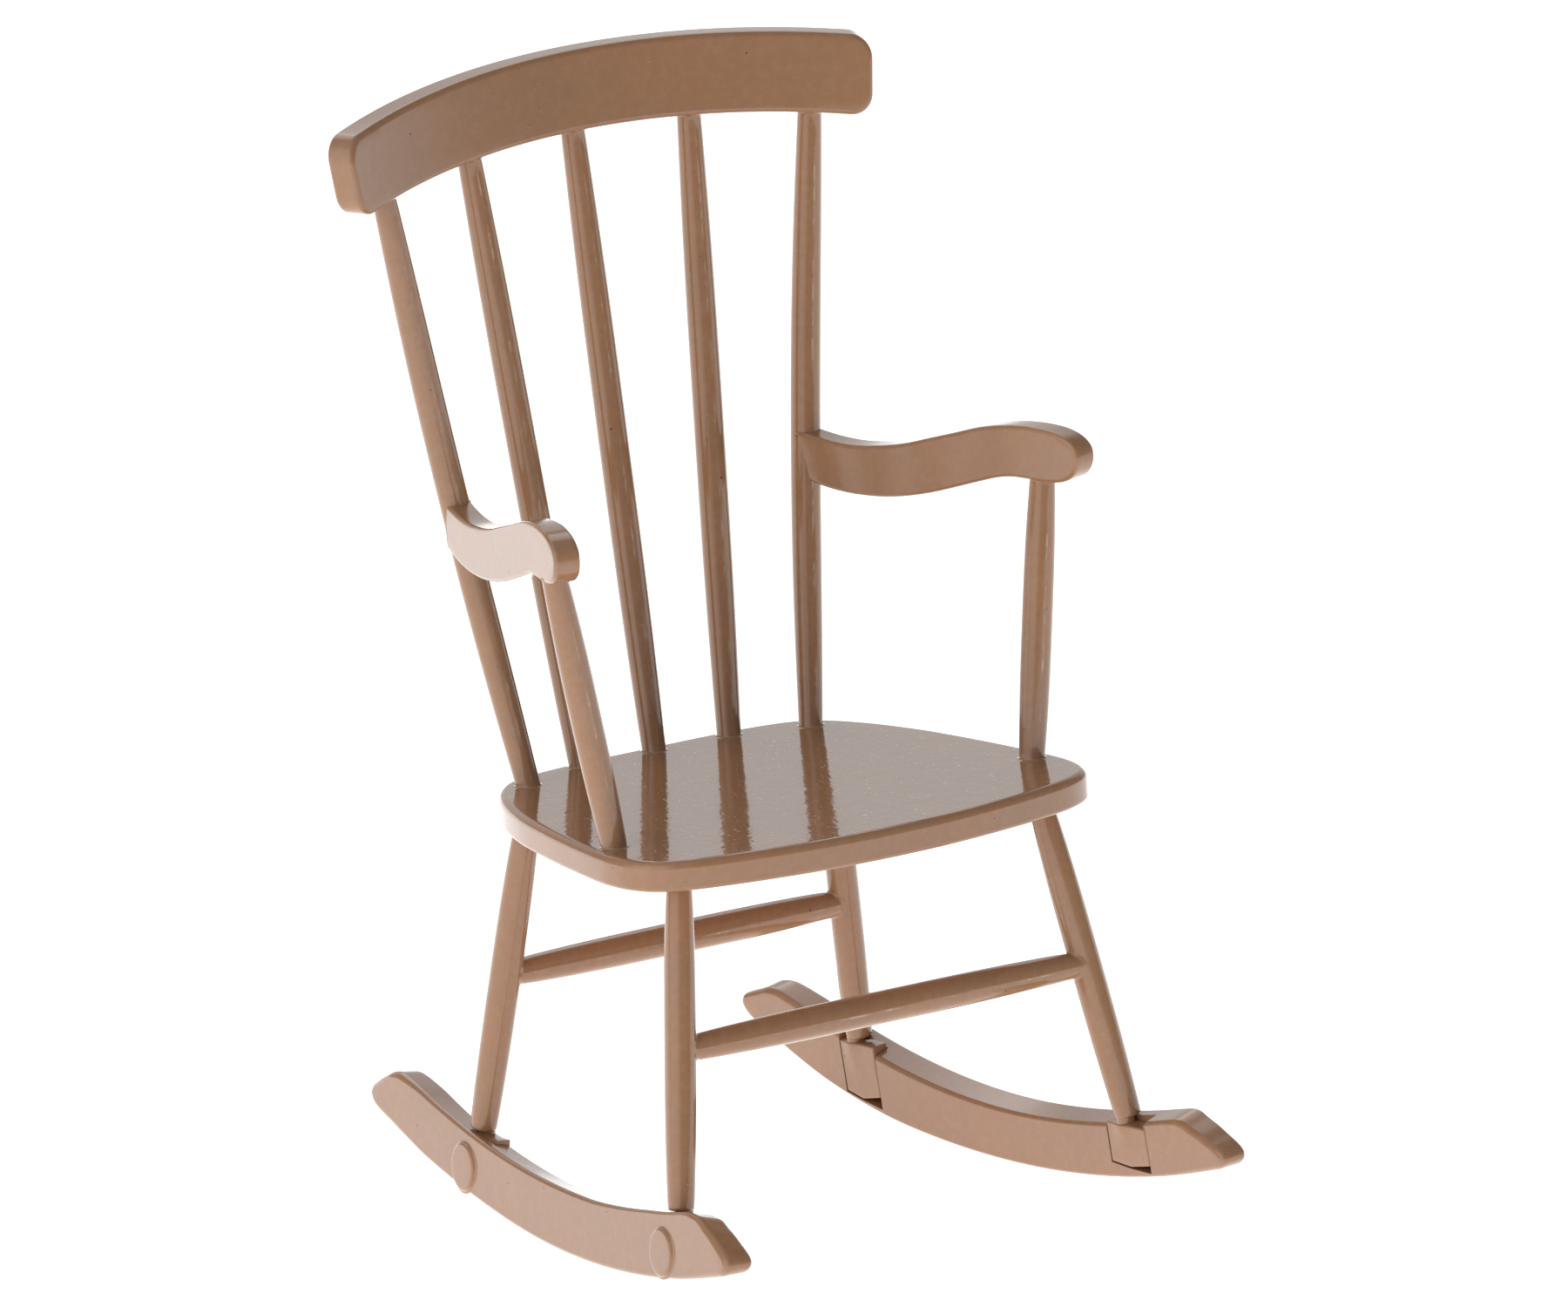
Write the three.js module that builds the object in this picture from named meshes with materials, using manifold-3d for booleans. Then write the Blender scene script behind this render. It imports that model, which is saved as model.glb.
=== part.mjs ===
// Miniature rocking chair, enamelled metal, millimetres, +Z up, chair faces -Y.
// Everything is drawn with the seat level (seat top at z = 0); at the end the whole
// chair is tipped back to the pose in which it rests on its rockers.
import * as THREE from 'three';
import { mergeVertices } from 'three/addons/utils/BufferGeometryUtils.js';
import Module from 'manifold-3d';

const wasm = await Module();
wasm.setup();

// ---- driving dimensions -------------------------------------------------
const SEGMENTS = 20; // facets round a turned piece
const GAP = 0.05; // clearance between neighbouring pieces
const REST_PITCH = 4.92; // degrees the seat tips back when the chair stands still

const SEAT_THICK = 3.6;
const SEAT_TENON = 1.5; // depth of the tenons in the top face
const LEG_TENON = 1.5; // depth of the tenons in the underside
const SEAT_RIM_TOP = 0.8;
const SEAT_RIM_LOW = 0.4;
// Half outline of the seat, middle of the back edge to middle of the front edge.
const SEAT_HALF = [
  [0, 39], [9, 38.9], [15.6, 38.3], [19.6, 37.1], [22.4, 34.7], [24.9, 30.5], [27.7, 22.5],
  [29.4, 14.5], [30.6, 7], [31.4, 0.5], [31.6, -3.2], [31.1, -6.8], [29.6, -9.8],
  [26.4, -12.1], [21, -13.9], [12.8, -15.6], [6, -16.4], [0, -16.6],
];

const SPINDLE_FEET = [[19.31, 33.22, 0], [10.1, 36.4, 0], [0, 36.62, 0]];
const SPINDLE_HEADS = [[28.94, 39.98, 69.69], [14.92, 43.66, 71.12], [0, 45.03, 71.78]];
const OUTER_BOW = 1; // rearward bow of the two outer spindles
const SPINDLE_END = 1.42; // radius at both ends
const SPINDLE_BELLY = 1.76; // radius at the middle

const POST_FOOT = [28.46, 0, 0];
const POST_HEAD = [33.07, 1.16, 31.61];
const POST_END = 1.5;
const POST_BELLY = 1.8;

const CREST_RADIUS = 84; // plan curve of the back
const CREST_THICK = 3.6;
const CREST_HALF = 37.6; // half length along the curve
const CREST_FAN = 0.0034; // widening per unit of height, following the spindles
const CREST_FAN_Z = 77;
const CREST_LOW = 72.35; // lower edge at the middle
const CREST_HIGH = 81.7; // upper edge at the middle
const CREST_CAMBER = 218; // radius of the upper and lower edges, front view
const CREST_CORNER = 2.7;
const CREST_RIM = 0.45;
const CREST_LEAN = 0.117; // rearward run per unit of height
const CREST_Y = 45.03; // mid thickness at height CREST_Z
const CREST_Z = 71.8;

const ARM_THICK = 3.2;
const ARM_RIM = 0.4;
const ARM_NOSE = { '-1': 1.6, 1: -0.2 }; // shift of each nose, positive shortens the arm
const ARM_FRONT = [33.1, 1.16]; // plan point over the post
const ARM_REAR = [23.8, 37.1]; // plan point at the outer spindle
// Upper edge of the arm from the spindle forwards, round the nose, and back below.
const ARM_EDGE = [
  [36.9, 33.9], [33, 33.3], [29, 33.15], [25, 33.5], [21, 34.2], [17, 35.3], [13, 36.4],
  [9.5, 37.4], [6.5, 38], [3.5, 38.35], [0.3, 38.4], [-2.4, 38.1], [-4.3, 37.4],
  [-5.35, 36.4], [-5.6, 35.2], [-5.3, 34.1], [-4.5, 33.1], [-3.2, 32.4], [-1.5, 32.1],
  [1, 32.05], [3, 32.1], [5, 32.05], [7, 31.7], [10, 30.85], [13.5, 29.8], [17, 28.8],
  [20.5, 28], [24, 27.45], [27, 27.25], [30, 27.25], [33.5, 27.6], [36.9, 28.4],
];

const LEG_FRONT_FOOT = [30.46, -12.42, -40.5]; // lower end of the leg axis
const LEG_REAR_FOOT = [25.86, 37.79, -40.5];
const LEG_FRONT_RUN = [-0.158, 0.1364]; // x and y run per unit of height
const LEG_REAR_RUN = [-0.143, -0.163];
const LEG_TOP = 1.46; // radius under the seat
const LEG_BELLY = 1.84;
const LEG_FOOT = 1.55;

const STRETCHER_END = 1.5;
const STRETCHER_BELLY = 1.9;
const STRETCHER_FRONT_Z = -22.5;
const STRETCHER_REAR_Z = -21.97;

const ROCKER_THICK = 3.7;
const ROCKER_RIM = 0.4;
const ROCKER_INSET = 1.4; // leg axis to the inner face
const ROCKER_LEAN = 6; // degrees, top edge towards the middle
// The upper face falls this much towards the middle of the chair, less at the tail.
const ROCKER_DRAFT = 0.7;
const ROCKER_TREAD = 150; // radius of the rolling edge
const ROCKER_TOP = 143; // radius of the upper edge
const ROCKER_MID = 22.5; // arc centre, behind the front foot
const ROCKER_LOW = -9.3; // rolling edge at the arc centre
// Ends of each rocker (front, rear) and how far its tail leaves the rolling arc;
// 1 is the chair's left (+X), -1 its right; the two are set by hand and differ a little.
const ROCKER_ENDS = { '-1': [-15.8, 75.3], 1: [-18.9, 71] };
const ROCKER_TAIL = { '-1': -1.35, 1: 2.9 };
const ROCKER_TAIL_POWER = 1.8;
const TREAD_BEND_START = 42; // behind the spot the chair rests on
const TOP_BEND_START = 20;
// How far the upper edge is raised towards the front end.
const ROCKER_NOSE_LIFT = { '-1': 0.4, 1: 0.1 };
const ROCKER_HEIGHT = 6.95; // between the two arcs at the centre

const PLATE_DEPTH = 2; // foot plate let into the inner face
const PLATE_BACK = { front: 2.5, rear: 1.9 }; // from the leg axis to the rear edge
const PLATE_FORE = { front: 4.6, rear: 4.3 }; // and to the front edge
// Lower edge of each plate and of its pocket at the rear corner, middle and front corner.
const PLATE_LOW = { front: [-5.75, -6, -5.35], rear: [-5.05, -5.7, -5.05] };
const POCKET_LOW = { front: [-5.87, -6.15, -6.2], rear: [-5.17, -5.85, -6.45] };
const PLATE_GAP = 0.12;
const SHAFT_LIFT = 0.12; // shaft end above the top of the rocker

const PIN_HEAD = 2.8;
const PIN_RISE = 0.4;
const PIN_SHANK = 0.9;
const PIN_DROP = { front: 4.65, rear: 3.92 }; // pin centre below the leg end

// ---- small helpers ------------------------------------------------------
const vec = (p) => new THREE.Vector3(p[0], p[1], p[2]);
const flat = (p) => new THREE.Vector2(p[0], p[1]);
const swap = (p, side) => [p[0] * side, p[1], p[2]];

// One closed body from points and triangles, faces turned outward.
function closed(points, index) {
  const corner = (i) => new THREE.Vector3().fromArray(points, 3 * i);
  let volume = 0;
  for (let i = 0; i < index.length; i += 3) {
    volume += corner(index[i]).dot(corner(index[i + 1]).cross(corner(index[i + 2])));
  }
  const order = volume < 0 ? index.slice().reverse() : index;
  const bare = new THREE.BufferGeometry();
  bare.setAttribute('position', new THREE.Float32BufferAttribute(points, 3));
  bare.setIndex(order);
  const merged = mergeVertices(bare, 1e-4);
  const vertProperties = new Float32Array(merged.attributes.position.array);
  const triVerts = new Uint32Array(merged.index.array);
  return new wasm.Manifold(new wasm.Mesh({ numProp: 3, vertProperties, triVerts }));
}

// Skin through rings of equal length; cap lists the triangles that close an end.
function loft(rings, cap) {
  const count = rings[0].length;
  const last = (rings.length - 1) * count;
  const points = rings.flat(2);
  const index = [];
  for (let r = 0; r + 1 < rings.length; r += 1) {
    for (let i = 0; i < count; i += 1) {
      const a = r * count + i;
      const b = r * count + ((i + 1) % count);
      index.push(a, b, b + count, a, b + count, a + count);
    }
  }
  cap.forEach(([a, b, c]) => {
    index.push(c, b, a);
    index.push(last + a, last + b, last + c);
  });
  return closed(points, index);
}

function fan(count) {
  const cap = [];
  for (let i = 1; i + 1 < count; i += 1) {
    cap.push([0, i, i + 1]);
  }
  return cap;
}

// Slab with rounded rims; place(u, v, w) puts outline point (u, v) at depth w.
function slab(outline, depth, rimLow, rimHigh, place) {
  const loop = THREE.ShapeUtils.isClockWise(outline) ? outline.slice().reverse() : outline;
  const inset = (amount) => loop.map((p, i) => {
    const before = loop[(i + loop.length - 1) % loop.length];
    const after = loop[(i + 1) % loop.length];
    const into = flat([before.y - p.y, p.x - before.x]).normalize();
    into.add(flat([p.y - after.y, after.x - p.x]).normalize()).normalize();
    return flat([p.x + into.x * amount, p.y + into.y * amount]);
  });
  const stations = [];
  [0, 0.35, 0.7, 1].forEach((t) => {
    const angle = (t * Math.PI) / 2;
    stations.push([rimLow * (1 - Math.cos(angle)), rimLow * (1 - Math.sin(angle))]);
  });
  [1, 0.7, 0.35, 0].forEach((t) => {
    const angle = (t * Math.PI) / 2;
    stations.push([depth - rimHigh * (1 - Math.cos(angle)), rimHigh * (1 - Math.sin(angle))]);
  });
  const rings = stations.map(([w, shrink]) => inset(shrink).map((p) => place(p.x, p.y, w)));
  return loft(rings, THREE.ShapeUtils.triangulateShape(loop, []));
}

// Turned piece along a to b; profile lists [distance from a, radius]; bow bends it back.
function turned(a, b, profile, segments = SEGMENTS, bow = 0) {
  const start = vec(a);
  const axis = vec(b).sub(start).normalize();
  const reach = start.distanceTo(vec(b));
  const side = new THREE.Vector3(1, 0, 0);
  if (Math.abs(axis.x) > 0.8) {
    side.set(0, 1, 0);
  }
  const u = new THREE.Vector3().crossVectors(side, axis).normalize();
  const v = new THREE.Vector3().crossVectors(axis, u);
  const rings = profile.map(([distance, radius]) => {
    const ring = [];
    for (let i = 0; i < segments; i += 1) {
      const angle = (2 * Math.PI * i) / segments;
      const p = start.clone().addScaledVector(axis, distance);
      p.addScaledVector(u, radius * Math.cos(angle));
      p.addScaledVector(v, radius * Math.sin(angle));
      p.y += bow * Math.sin(Math.PI * THREE.MathUtils.clamp(distance / reach, 0, 1));
      ring.push(p.toArray());
    }
    return ring;
  });
  return loft(rings, fan(segments));
}

const rod = (a, b, radius) => turned(a, b, [[0, radius], [vec(a).distanceTo(vec(b)), radius]], 16);

// Point on the line a to b, at a distance from a.
function along(a, b, distance) {
  const axis = vec(b).sub(vec(a)).normalize();
  return vec(a).addScaledVector(axis, distance).toArray();
}

// Bobbin profile: slim ends swelling to a belly; grow widens the whole piece.
function bobbin(length, end, belly, grow = 0) {
  const list = [];
  [0, 0.04, 0.12, 0.25, 0.5, 0.75, 0.88, 0.96, 1].forEach((t) => {
    const rise = Math.sin(Math.PI * t) ** 0.55;
    list.push([t * length, end + (belly - end) * rise + grow]);
  });
  return list;
}

// ---- seat ---------------------------------------------------------------
function seatOutline() {
  const right = SEAT_HALF.map(flat);
  const left = SEAT_HALF.slice(1, -1).reverse().map((p) => flat([-p[0], p[1]]));
  const curve = new THREE.CatmullRomCurve3(
    [...right, ...left].map((p) => new THREE.Vector3(p.x, p.y, 0)), true, 'centripetal');
  return curve.getPoints(72).slice(0, -1).map((p) => flat([p.x, p.y]));
}

function seatBlank(lift = 0) {
  const place = (x, y, w) => [x, y, w - SEAT_THICK + lift];
  return slab(seatOutline(), SEAT_THICK, SEAT_RIM_LOW, SEAT_RIM_TOP, place);
}

// ---- crest rail ---------------------------------------------------------
// Cross sections follow the bowed back; the corners round off towards the ends.
function crestBlank(drop = 0) {
  const stations = [];
  [0, 0.15, 0.5, 0.85, 1].forEach((t) => {
    const angle = (t * Math.PI) / 2;
    stations.push([-CREST_HALF + CREST_CORNER * (1 - Math.cos(angle)),
      CREST_CORNER * (1 - Math.sin(angle))]);
  });
  const inner = CREST_HALF - CREST_CORNER;
  for (let i = 1; i < 16; i += 1) {
    stations.push([-inner + (2 * inner * i) / 16, 0]);
  }
  stations.slice(0, 5).reverse().forEach(([s, cut]) => stations.push([-s, cut]));
  const rings = stations.map(([s, cut]) => {
    const camber = (s * s) / (2 * CREST_CAMBER);
    const low = CREST_LOW - camber + cut - drop;
    const high = CREST_HIGH - camber - cut;
    const half = CREST_THICK / 2;
    const rim = CREST_RIM;
    const section = [
      [-half, low + rim], [-half + rim * 0.3, low + rim * 0.3], [-half + rim, low],
      [half - rim, low], [half - rim * 0.3, low + rim * 0.3], [half, low + rim],
      [half, high - rim], [half - rim * 0.3, high - rim * 0.3], [half - rim, high],
      [-half + rim, high], [-half + rim * 0.3, high - rim * 0.3], [-half, high - rim],
    ];
    return section.map(([r, z]) => {
      const angle = (s * (1 + CREST_FAN * (z - CREST_FAN_Z))) / CREST_RADIUS;
      const centre = CREST_Y - CREST_RADIUS + CREST_LEAN * (z - CREST_Z);
      const reach = CREST_RADIUS + r;
      return [reach * Math.sin(angle), centre + reach * Math.cos(angle), z];
    });
  });
  return loft(rings, fan(12));
}

// ---- spindles and posts -------------------------------------------------
function spindleLine(number) {
  const side = number < 3 ? -1 : 1;
  const row = [0, 1, 2, 1, 0][number - 1];
  const a = swap(SPINDLE_FEET[row], side);
  const b = swap(SPINDLE_HEADS[row], side);
  return { a, b, length: vec(a).distanceTo(vec(b)) + 0.8 };
}

function spindleBlank(number, grow = 0) {
  const { a, b, length } = spindleLine(number);
  const profile = bobbin(length, SPINDLE_END, SPINDLE_BELLY, grow);
  profile.unshift([-1, SPINDLE_END + grow]);
  profile.push([length + 2, SPINDLE_END + grow]);
  const bow = number === 1 || number === 5 ? OUTER_BOW : 0;
  return turned(a, b, profile, SEGMENTS, bow);
}

function spindle(number) {
  const { a, b, length } = spindleLine(number);
  let body = spindleBlank(number).subtract(seatBlank(GAP)).subtract(crestBlank(GAP));
  body = keepLargest(body);
  body = body.add(rod(along(a, b, -SEAT_TENON), along(a, b, 1), 1.1));
  body = body.add(rod(along(a, b, length - 1.5), along(a, b, length + 2.6), 0.95));
  return number === 1 || number === 5 ? body.subtract(armPeg(number === 1 ? -1 : 1, GAP)) : body;
}

function keepLargest(body) {
  const pieces = body.decompose();
  pieces.sort((p, q) => q.volume() - p.volume());
  return pieces[0];
}

function postBlank(side, grow = 0) {
  const a = swap(POST_FOOT, side);
  const b = swap(POST_HEAD, side);
  const length = vec(a).distanceTo(vec(b)) + 0.4;
  const profile = bobbin(length, POST_END, POST_BELLY, grow);
  profile.unshift([-1, POST_END + grow]);
  profile.push([length + 1.5, POST_END + grow]);
  return turned(a, b, profile);
}

function armPost(side) {
  const a = swap(POST_FOOT, side);
  const b = swap(POST_HEAD, side);
  const length = vec(a).distanceTo(vec(b));
  let body = postBlank(side).subtract(seatBlank(GAP)).subtract(armBlank(side, GAP));
  body = keepLargest(body);
  body = body.add(rod(along(a, b, -SEAT_TENON), along(a, b, 1), 1.1));
  return body.add(rod(along(a, b, length - 1.5), along(a, b, length + 2.6), 0.9));
}

// ---- arms ---------------------------------------------------------------
function armFrame(side) {
  const front = new THREE.Vector3(ARM_FRONT[0] * side, ARM_FRONT[1], 0);
  const rear = new THREE.Vector3(ARM_REAR[0] * side, ARM_REAR[1], 0);
  const run = rear.clone().sub(front).normalize();
  const out = new THREE.Vector3(run.y, -run.x, 0).multiplyScalar(side);
  return { front, run, out };
}

function armBlank(side, drop = 0) {
  const { front, run, out } = armFrame(side);
  const curve = new THREE.CatmullRomCurve3(
    ARM_EDGE.map(([y, z]) => new THREE.Vector3(y, z, 0)), false, 'centripetal');
  const outline = curve.getPoints(48).map((p) => flat([p.x, p.y]));
  const place = (y, z, w) => {
    const share = THREE.MathUtils.clamp((10 - y) / 12, 0, 1);
    const shifted = y + ARM_NOSE[side] * share;
    const p = front.clone().addScaledVector(run, (shifted - ARM_FRONT[1]) / run.y);
    p.addScaledVector(out, w - ARM_THICK / 2);
    return [p.x, p.y, z - drop];
  };
  return slab(outline, ARM_THICK, ARM_RIM, ARM_RIM, place);
}

function spindlePoint(side, height) {
  const a = SPINDLE_FEET[0];
  const b = SPINDLE_HEADS[0];
  const t = height / b[2];
  const bow = OUTER_BOW * Math.sin(Math.PI * t);
  return [side * (a[0] + (b[0] - a[0]) * t), a[1] + (b[1] - a[1]) * t + bow, height];
}

// Peg that holds the rear end of an arm in its spindle.
function armPeg(side, grow = 0) {
  const { run } = armFrame(side);
  const height = 30.8;
  const centre = vec(spindlePoint(side, height));
  const front = centre.clone().addScaledVector(run, -4);
  const rear = centre.clone().addScaledVector(run, -0.5 + grow);
  return rod(front.toArray(), rear.toArray(), 0.6 + grow);
}

function arm(side) {
  const number = side < 0 ? 1 : 5;
  let body = armBlank(side).subtract(spindleBlank(number, GAP));
  body = keepLargest(body).add(armPeg(side));
  const a = swap(POST_FOOT, side);
  const b = swap(POST_HEAD, side);
  const length = vec(a).distanceTo(vec(b));
  return body.subtract(rod(along(a, b, length - 2), along(a, b, length + 2.7), 0.9 + GAP));
}

// ---- rocker frame -------------------------------------------------------
// l runs to the rear from the front foot, u up in the rocker plane, w outward.
function rockerFrame(side) {
  const front = vec(swap(LEG_FRONT_FOOT, side));
  const rear = vec(swap(LEG_REAR_FOOT, side));
  const l = rear.clone().sub(front).normalize();
  const level = new THREE.Vector3(l.y, -l.x, 0).multiplyScalar(side);
  const lean = THREE.MathUtils.degToRad(ROCKER_LEAN);
  const u = new THREE.Vector3(0, 0, 1).multiplyScalar(Math.cos(lean));
  u.addScaledVector(level, -Math.sin(lean));
  const w = level.multiplyScalar(Math.cos(lean));
  w.z = Math.sin(lean);
  return { front, l, u, w, reach: rear.distanceTo(front) };
}

function rockerPlace(side) {
  const { front, l, u, w } = rockerFrame(side);
  return (a, b, c) => {
    const p = front.clone().addScaledVector(l, a).addScaledVector(u, b);
    return p.addScaledVector(w, c).toArray();
  };
}

const treadAt = (l) => ROCKER_LOW + ROCKER_TREAD
  - Math.sqrt(ROCKER_TREAD ** 2 - (l - ROCKER_MID) ** 2);
const topAt = (l) => ROCKER_LOW + ROCKER_HEIGHT + ROCKER_TOP
  - Math.sqrt(ROCKER_TOP ** 2 - (l - ROCKER_MID) ** 2);

// Stations along the rolling edge, laid out so that one facet is level at rest.
function treadStations(start, end) {
  const step = 3.4;
  const rest = ROCKER_MID + ROCKER_TREAD * Math.sin(THREE.MathUtils.degToRad(REST_PITCH));
  const first = rest + step * (Math.ceil((start - rest) / step - 0.5) + 0.5);
  const list = [start];
  for (let l = first; l < end - 0.5; l += step) {
    if (l > start + 0.5) {
      list.push(l);
    }
  }
  list.push(end);
  return list;
}

// How far a tail has left its arc at l, for an edge that starts to bend at start.
function bend(side, l, start) {
  const share = Math.max(0, l - start) / (ROCKER_ENDS[side][1] - start);
  return ROCKER_TAIL[side] * share ** ROCKER_TAIL_POWER;
}

// Upper edge of one rocker, midway through its thickness.
function rockerTop(side, l) {
  const lift = ROCKER_NOSE_LIFT[side] * THREE.MathUtils.clamp((18 - l) / 13, 0, 1);
  return topAt(l) + bend(side, l, TOP_BEND_START) + lift;
}

// Side view of a rocker; the ends are placed by their height above the rolling edge.
function rockerOutline(side) {
  const [front, rear] = ROCKER_ENDS[side];
  const loop = [];
  const put = (l, rise) => {
    const share = THREE.MathUtils.clamp(rise / ROCKER_HEIGHT, 0, 1);
    const low = bend(side, l, TREAD_BEND_START);
    const high = bend(side, l, TOP_BEND_START);
    loop.push(flat([l, treadAt(l) + low + (high - low) * share + rise]));
  };
  treadStations(front + 2.2, rear - 2.1).forEach((l) => put(l, 0));
  [[-1, 0.15], [-0.3, 0.6], [0, 1.3], [-0.35, 2.25], [-1.6, 3.4], [-3.6, 4.9], [-5.4, 6.1],
    [-7.2, 6.8], [-9, 7.05]].forEach(([l, rise]) => put(rear + l, rise));
  for (let i = 0; i <= 20; i += 1) {
    const l = rear - 12 - ((rear - front - 22.2) * i) / 20;
    loop.push(flat([l, rockerTop(side, l)]));
  }
  [[8.6, 7.15], [7.4, 6.85], [6, 6], [4.2, 4.9], [2.6, 3.75], [1.3, 2.8], [0.45, 2],
    [0.05, 1.3], [0.1, 0.7], [0.6, 0.25], [1.4, 0.03]].forEach(([l, rise]) => {
    put(front + l, rise);
  });
  return loop;
}

function rockerBlank(side, raise = 0) {
  const place = rockerPlace(side);
  // Cross slope that leaves the rolling face level at rest.
  const slope = Math.tan(THREE.MathUtils.degToRad(ROCKER_LEAN))
    - Math.abs(rockerFrame(side).l.x) * Math.sin(THREE.MathUtils.degToRad(REST_PITCH));
  return slab(rockerOutline(side), ROCKER_THICK, ROCKER_RIM, ROCKER_RIM, (a, b, c) => {
    const share = THREE.MathUtils.clamp((b - treadAt(a)) / ROCKER_HEIGHT, 0, 1);
    const across = c / ROCKER_THICK - 0.5;
    const level = (1 - share) * ROCKER_THICK * slope;
    const draft = ROCKER_DRAFT * (1 - 0.6 * THREE.MathUtils.clamp((a - 56) / 10, 0, 1));
    const rise = raise * share + (draft * share - level) * across;
    return place(a, b + rise, c - ROCKER_INSET);
  });
}

// Outline of a foot plate; grow turns it into the pocket that receives it.
function plateOutline(side, foot, grow) {
  const row = foot === 0 ? 'front' : 'rear';
  const [back, middle, fore] = (grow > 0 ? POCKET_LOW : PLATE_LOW)[row];
  const top = rockerTop(side, foot) + (grow > 0 ? 6 : -ROCKER_DRAFT / 2);
  const rear = foot + PLATE_BACK[row] + grow;
  const front = foot - PLATE_FORE[row] - grow;
  const points = [[rear, back], [rear, top], [front, top], [front, fore], [foot - 0.9, middle]];
  return points.map(flat);
}

function plate(side, foot, grow = 0) {
  const place = rockerPlace(side);
  const outline = new THREE.Shape(plateOutline(side, foot, grow)).getPoints();
  const start = -ROCKER_INSET - (grow > 0 ? 1 : 0);
  const end = -ROCKER_INSET + PLATE_DEPTH + grow;
  const rings = [start, end].map((c) => outline.map((p) => place(p.x, p.y, c)));
  return loft(rings, THREE.ShapeUtils.triangulateShape(outline, []));
}

const feet = (side) => [0, rockerFrame(side).reach];

// Height of a pin in the rocker plane; the rear ones follow the bend of the tail.
function pinHeight(side, foot) {
  const drop = PIN_DROP[foot === 0 ? 'front' : 'rear'];
  return 0.5 * bend(side, foot, TOP_BEND_START) - drop;
}

function pinHole(side, foot, grow) {
  const place = rockerPlace(side);
  const outer = ROCKER_THICK - ROCKER_INSET;
  const height = pinHeight(side, foot);
  return rod(place(foot, height, outer + 1), place(foot, height, -0.5 - grow), PIN_SHANK + grow);
}

function rocker(side) {
  let body = rockerBlank(side);
  feet(side).forEach((foot) => {
    body = body.subtract(plate(side, foot, PLATE_GAP)).subtract(pinHole(side, foot, GAP));
  });
  return body;
}

function rockerPin(side, foot) {
  const place = rockerPlace(side);
  const outer = ROCKER_THICK - ROCKER_INSET;
  const base = outer + GAP / 2;
  const profile = [[0, PIN_HEAD], [PIN_RISE * 0.4, PIN_HEAD - 0.02],
    [PIN_RISE * 0.8, PIN_HEAD - 0.14], [PIN_RISE, PIN_HEAD - 0.4]];
  const height = pinHeight(side, foot);
  const head = turned(place(foot, height, base), place(foot, height, base + 1), profile, 36);
  return head.add(rod(place(foot, height, base + 0.1), place(foot, height, -0.4), PIN_SHANK));
}

// ---- legs and stretchers ------------------------------------------------
function legLine(row, side) {
  const foot = row === 'front' ? LEG_FRONT_FOOT : LEG_REAR_FOOT;
  const run = row === 'front' ? LEG_FRONT_RUN : LEG_REAR_RUN;
  const rise = -SEAT_THICK - foot[2];
  const head = [foot[0] + run[0] * rise, foot[1] + run[1] * rise, -SEAT_THICK];
  return { a: swap(foot, side), b: swap(head, side) };
}

function legBlank(row, side, grow = 0) {
  const { a, b } = legLine(row, side);
  const length = vec(a).distanceTo(vec(b));
  const foot = row === 'front' ? 0 : rockerFrame(side).reach;
  const lift = rockerTop(side, foot) + SHAFT_LIFT;
  const profile = bobbin(length, LEG_TOP, LEG_BELLY, grow).filter(([d]) => d > 3);
  profile.unshift([lift, LEG_FOOT - 0.35 + grow], [lift + 0.35, LEG_FOOT + grow]);
  profile.push([length + 1, LEG_TOP + grow]);
  return turned(a, b, profile);
}

function leg(row, side) {
  const { a, b } = legLine(row, side);
  const length = vec(a).distanceTo(vec(b));
  const foot = row === 'front' ? 0 : rockerFrame(side).reach;
  const place = rockerPlace(side);
  let body = legBlank(row, side).subtract(seatBlank(-GAP)).subtract(rockerBlank(side, SHAFT_LIFT));
  body = keepLargest(body).add(rod(along(a, b, length - 1.5), along(a, b, length + LEG_TENON), 1.1));
  const neck = rod(place(foot, -1.5, -0.4), place(foot, rockerTop(side, foot) + 1.2, -0.4), 1.05);
  body = body.add(neck).add(plate(side, foot));
  body = body.subtract(pinHole(side, foot, GAP));
  return body.subtract(stretcherTenon(row, side, GAP));
}

function stretcherEnd(row, side) {
  const height = row === 'front' ? STRETCHER_FRONT_Z : STRETCHER_REAR_Z;
  const { a, b } = legLine(row, side);
  const t = (height - a[2]) / (b[2] - a[2]);
  return vec(a).lerp(vec(b), t).toArray();
}

function stretcherTenon(row, side, grow) {
  const end = stretcherEnd(row, side);
  const other = stretcherEnd(row, -side);
  return rod(along(end, other, 0.3 - grow), along(end, other, 5), 0.85 + grow);
}

function stretcher(row) {
  const a = stretcherEnd(row, -1);
  const b = stretcherEnd(row, 1);
  const length = vec(a).distanceTo(vec(b));
  let body = turned(a, b, bobbin(length, STRETCHER_END, STRETCHER_BELLY));
  [-1, 1].forEach((side) => {
    body = body.subtract(legBlank(row, side, GAP));
  });
  body = keepLargest(body);
  return body.add(stretcherTenon(row, -1, 0)).add(stretcherTenon(row, 1, 0));
}

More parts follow.
